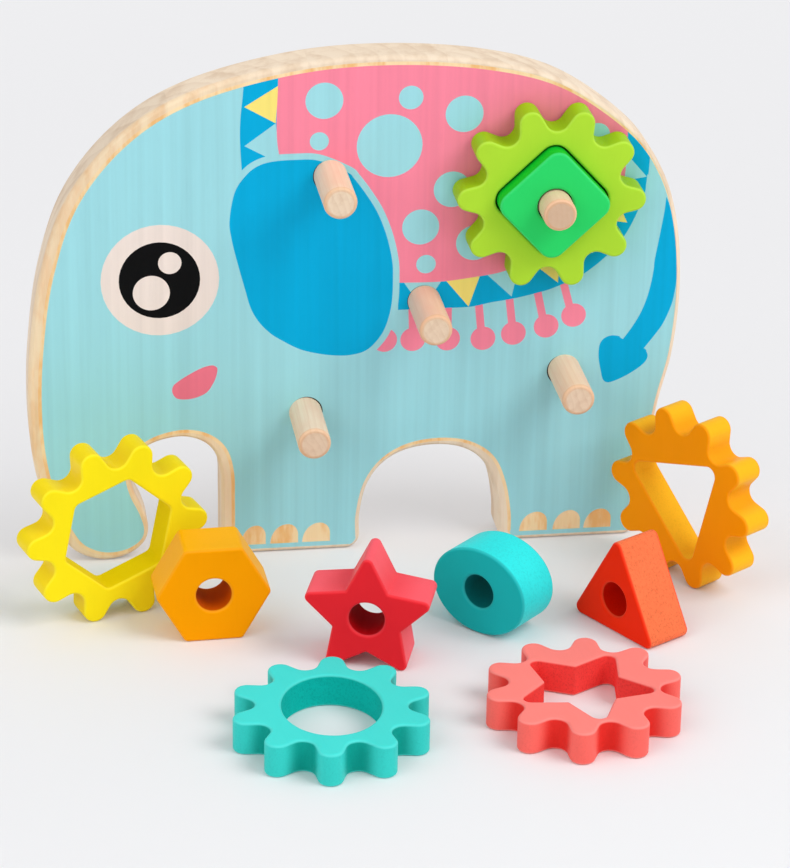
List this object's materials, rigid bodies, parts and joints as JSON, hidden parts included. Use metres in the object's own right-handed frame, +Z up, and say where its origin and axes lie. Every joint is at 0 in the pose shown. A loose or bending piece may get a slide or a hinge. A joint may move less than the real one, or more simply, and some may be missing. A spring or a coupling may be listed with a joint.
{
  "type": "wooden gear toy",
  "caption": "Elephant-shaped pine board standing on its feet, with dowel pegs on its face, round-toothed gears and bored shape blocks that the gears slip over.",
  "frame": {"origin": "on the table, below the middle of the whole set's box", "axes": "+Z up, +X along the board from the trunk to the rear foot, -Y out of the board's printed face"},
  "size_m": [0.3146, 0.2236, 0.225],
  "materials": {
    "printed_pine": "printed satin face on bare pine",
    "pine_dowel": "bare, sanded",
    "green_paint": "satin paint",
    "lime_paint": "satin paint",
    "yellow_paint": "satin paint",
    "orange_paint": "satin paint",
    "turquoise_paint": "satin paint",
    "coral_paint": "satin paint",
    "amber_paint": "satin paint",
    "crimson_paint": "satin paint",
    "teal_paint": "satin paint",
    "scarlet_paint": "satin paint"
  },
  "bodies": {
    "board": {"elephant_board": "printed_pine", "peg_hub": "pine_dowel", "peg_upper_left": "pine_dowel", "peg_lower_left": "pine_dowel", "peg_lower_right": "pine_dowel", "peg_upper_right": "pine_dowel"},
    "square_block": {"square_block": "green_paint"},
    "lime_gear": {"lime_gear": "lime_paint"},
    "yellow_gear": {"yellow_gear": "yellow_paint"},
    "orange_gear": {"orange_gear": "orange_paint"},
    "turquoise_gear": {"turquoise_gear": "turquoise_paint"},
    "coral_gear": {"coral_gear": "coral_paint"},
    "hexagon_block": {"hexagon_block": "amber_paint"},
    "star_block": {"star_block": "crimson_paint"},
    "oval_block": {"oval_block": "teal_paint"},
    "triangle_block": {"triangle_block": "scarlet_paint"}
  },
  "joints": [
    {"name": "square_block_spin", "type": "hinge", "parent": "board", "child": "square_block", "pos_m": [0.07086, 0.08037, 0.16483], "axis": [0, -1, 0], "continuous": true},
    {"name": "lime_gear_pull", "type": "slide", "parent": "square_block", "child": "lime_gear", "axis": [0, -1, 0], "range_m": [0, 0.035]},
    {"name": "yellow_gear_lift", "type": "slide", "parent": "board", "child": "yellow_gear", "axis": [0, 0, 1], "range_m": [0, 0.04]},
    {"name": "orange_gear_lift", "type": "slide", "parent": "board", "child": "orange_gear", "axis": [0, 0, 1], "range_m": [0, 0.04]},
    {"name": "turquoise_gear_lift", "type": "slide", "parent": "board", "child": "turquoise_gear", "axis": [0, 0, 1], "range_m": [0, 0.04]},
    {"name": "coral_gear_lift", "type": "slide", "parent": "board", "child": "coral_gear", "axis": [0, 0, 1], "range_m": [0, 0.04]},
    {"name": "hexagon_block_lift", "type": "slide", "parent": "board", "child": "hexagon_block", "axis": [0, 0, 1], "range_m": [0, 0.04]},
    {"name": "star_block_lift", "type": "slide", "parent": "board", "child": "star_block", "axis": [0, 0, 1], "range_m": [0, 0.04]},
    {"name": "oval_block_lift", "type": "slide", "parent": "board", "child": "oval_block", "axis": [0, 0, 1], "range_m": [0, 0.04]},
    {"name": "triangle_block_lift", "type": "slide", "parent": "board", "child": "triangle_block", "axis": [0, 0, 1], "range_m": [0, 0.04]}
  ]
}
